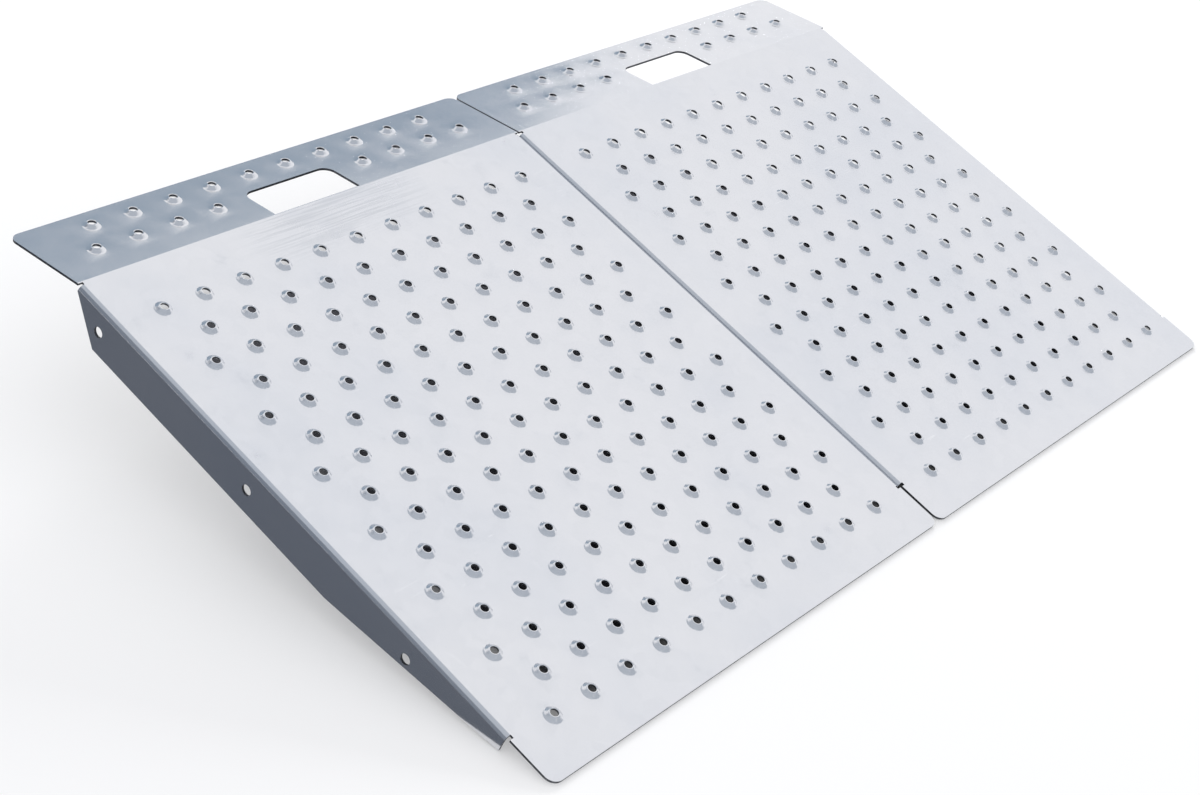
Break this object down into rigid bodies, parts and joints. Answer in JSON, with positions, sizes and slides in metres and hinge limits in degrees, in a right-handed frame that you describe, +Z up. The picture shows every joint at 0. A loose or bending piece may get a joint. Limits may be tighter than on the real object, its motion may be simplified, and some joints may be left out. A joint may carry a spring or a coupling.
{
  "type": "loading ramp",
  "caption": "Low sheet-steel loading ramp: wide pierced-dimple decks bolted side by side, each with a bent rear lip, a hand-hole and folded side flanges.",
  "frame": {"origin": "on the ground, in the middle of the bounding box seen from above, with the ramp in its working pose", "axes": "+Z up, +Y from the low front edge to the raised rear lip, +X to the right seen from the low end, along the front edge"},
  "size_m": [0.974, 0.5698, 0.1398],
  "materials": {
    "galvanised_sheet": "smooth pale galvanised steel sheet, satin",
    "zinc_fastener": "bright zinc plate"
  },
  "bodies": {
    "root": {"ramp_section_left": "galvanised_sheet", "ramp_section_right": "galvanised_sheet", "joining_bolt_rear": "zinc_fastener", "head_washer_rear": "zinc_fastener", "nut_washer_rear": "zinc_fastener", "hex_nut_rear": "zinc_fastener", "joining_bolt_middle": "zinc_fastener", "head_washer_middle": "zinc_fastener", "nut_washer_middle": "zinc_fastener", "hex_nut_middle": "zinc_fastener", "joining_bolt_front": "zinc_fastener", "head_washer_front": "zinc_fastener", "nut_washer_front": "zinc_fastener", "hex_nut_front": "zinc_fastener"}
  },
  "joints": []
}
